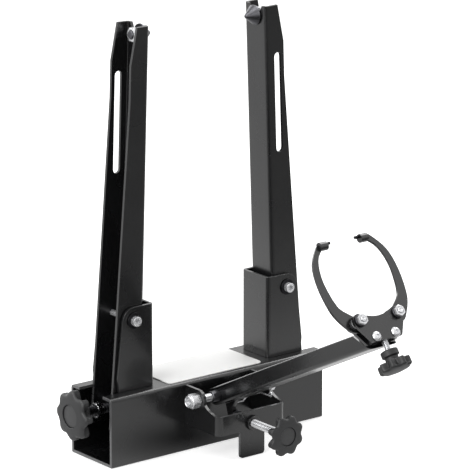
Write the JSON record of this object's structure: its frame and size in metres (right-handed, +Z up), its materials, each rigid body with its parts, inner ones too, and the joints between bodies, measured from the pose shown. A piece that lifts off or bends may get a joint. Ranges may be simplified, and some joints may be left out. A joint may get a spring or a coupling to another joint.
{
  "type": "bicycle wheel truing stand",
  "caption": "Folded steel stand that holds a bicycle wheel by its axle between leaning uprights, with a height-adjustable arm whose jaws close on the rim.",
  "frame": {"origin": "centre of the underside of the base, on the surface it stands on", "axes": "+X along the base to the right as seen from the arm side, +Y to the back away from the arm, +Z up"},
  "size_m": [0.2905, 0.3462, 0.4278],
  "materials": {
    "black_paint": "satin black powder coat on folded steel sheet",
    "bright_zinc": "bright zinc-plated steel",
    "dark_steel": "blackened machined steel",
    "knob_plastic": "moulded matte black plastic",
    "cap_plastic": "smooth dark grey plastic cap",
    "white_paint": "white painted plate for sighting the rim gap"
  },
  "bodies": {
    "base": {"base_channel": "black_paint", "base_floor_plate": "black_paint", "sight_plate": "white_paint", "left_bracket": "black_paint", "right_bracket": "black_paint", "left_pivot_bolt": "bright_zinc", "right_pivot_bolt": "bright_zinc", "left_pivot_washer": "dark_steel", "right_pivot_washer": "dark_steel", "left_pivot_nut": "bright_zinc", "right_pivot_nut": "bright_zinc", "screw_bearing_block": "black_paint", "arm_bracket": "black_paint", "arm_pivot_bolt": "bright_zinc", "arm_pivot_nut": "bright_zinc", "height_screw_nut": "black_paint"},
    "left_upright": {"left_upright": "black_paint", "left_axle_cone": "dark_steel", "left_cone_nut": "bright_zinc"},
    "right_upright": {"right_upright": "black_paint", "right_axle_cone": "dark_steel", "right_cone_nut": "bright_zinc"},
    "left_spread_nut": {"left_spread_nut": "dark_steel"},
    "right_spread_nut": {"right_spread_nut": "dark_steel"},
    "spread_screw": {"spread_rod": "dark_steel", "rod_stop_nut": "bright_zinc", "left_rod_collar": "bright_zinc", "right_rod_collar": "bright_zinc", "spread_knob": "knob_plastic", "spread_knob_cap": "cap_plastic"},
    "height_pad": {"height_pad": "dark_steel"},
    "height_screw": {"height_screw": "bright_zinc", "height_knob": "knob_plastic", "height_knob_cap": "cap_plastic"},
    "arm": {"caliper_arm": "black_paint", "arm_tail_cam": "black_paint", "arm_pivot_bush": "dark_steel", "arm_return_spring": "bright_zinc", "head_plate": "black_paint", "head_bracket": "black_paint", "left_jaw_bush": "bright_zinc", "right_jaw_bush": "bright_zinc", "left_jaw_collar": "dark_steel", "right_jaw_collar": "dark_steel", "left_jaw_bolt": "bright_zinc", "right_jaw_bolt": "bright_zinc", "left_jaw_nut": "bright_zinc", "right_jaw_nut": "bright_zinc", "left_head_bolt": "bright_zinc", "right_head_bolt": "bright_zinc"},
    "left_jaw": {"left_jaw": "black_paint", "left_feeler_boss": "black_paint", "left_feeler_pin": "bright_zinc"},
    "right_jaw": {"right_jaw": "black_paint", "right_feeler_boss": "black_paint", "right_feeler_pin": "bright_zinc"},
    "jaw_crosshead": {"jaw_crosshead": "dark_steel"},
    "jaw_screw": {"jaw_screw": "bright_zinc", "jaw_knob": "knob_plastic"}
  },
  "joints": [
    {"name": "right_upright_tilt", "type": "hinge", "parent": "base", "child": "right_upright", "pos_m": [0.0949, 0, 0.1404], "axis": [0, -1, 0], "range_deg": [-5, 4]},
    {"name": "left_upright_tilt", "type": "hinge", "parent": "base", "child": "left_upright", "pos_m": [-0.0949, 0, 0.1404], "axis": [0, 1, 0], "range_deg": [-5.01, 4.01]},
    {"name": "spread_knob_turn", "type": "hinge", "parent": "base", "child": "spread_screw", "pos_m": [0, 0, 0.05], "axis": [-1, 0, 0], "range_deg": [-947, 758]},
    {"name": "left_spread_nut_slide", "type": "slide", "parent": "base", "child": "left_spread_nut", "axis": [-1, 0, 0], "range_m": [-0.0079, 0.00635]},
    {"name": "right_spread_nut_slide", "type": "slide", "parent": "base", "child": "right_spread_nut", "axis": [1, 0, 0], "range_m": [-0.0079, 0.00635]},
    {"name": "arm_lift", "type": "hinge", "parent": "base", "child": "arm", "pos_m": [0, -0.053, 0.057], "axis": [-1, 0, 0], "range_deg": [-12, 32]},
    {"name": "height_pad_slide", "type": "slide", "parent": "base", "child": "height_pad", "axis": [0, -1, 0], "range_m": [-0.00483, 0.01286]},
    {"name": "height_knob_turn", "type": "hinge", "parent": "height_pad", "child": "height_screw", "pos_m": [0, -0.09, 0.034], "axis": [0, -1, 0], "range_deg": [-1388, 3700]},
    {"name": "jaw_crosshead_slide", "type": "slide", "parent": "arm", "child": "jaw_crosshead", "axis": [0, -0.6018, -0.7986], "range_m": [-0.00366, 0.00235]},
    {"name": "right_jaw_swing", "type": "hinge", "parent": "arm", "child": "right_jaw", "pos_m": [0.0225, -0.27443, 0.18655], "axis": [0, -0.7986, 0.6018], "range_deg": [-14, 9]},
    {"name": "left_jaw_swing", "type": "hinge", "parent": "arm", "child": "left_jaw", "pos_m": [-0.0225, -0.27443, 0.18655], "axis": [0, 0.7986, -0.6018], "range_deg": [-14, 9]},
    {"name": "jaw_knob_turn", "type": "hinge", "parent": "jaw_crosshead", "child": "jaw_screw", "pos_m": [0, -0.28757, 0.15889], "axis": [0, -0.6018, -0.7986], "range_deg": [-1320, 849]}
  ],
  "couplings": [
    {"joint": "left_upright_tilt", "follows": "right_upright_tilt", "ratio": 1},
    {"joint": "spread_knob_turn", "follows": "right_upright_tilt", "ratio": 189.33},
    {"joint": "left_spread_nut_slide", "follows": "right_upright_tilt", "m_per_rad": 0.0904},
    {"joint": "right_spread_nut_slide", "follows": "right_upright_tilt", "m_per_rad": 0.0904},
    {"joint": "height_pad_slide", "follows": "arm_lift", "m_per_rad": 0.023},
    {"joint": "height_knob_turn", "follows": "arm_lift", "ratio": 115.61},
    {"joint": "right_jaw_swing", "follows": "jaw_crosshead_slide", "rad_per_m": 66.667},
    {"joint": "left_jaw_swing", "follows": "jaw_crosshead_slide", "rad_per_m": 66.667},
    {"joint": "jaw_knob_turn", "follows": "jaw_crosshead_slide", "rad_per_m": 6283.2}
  ]
}
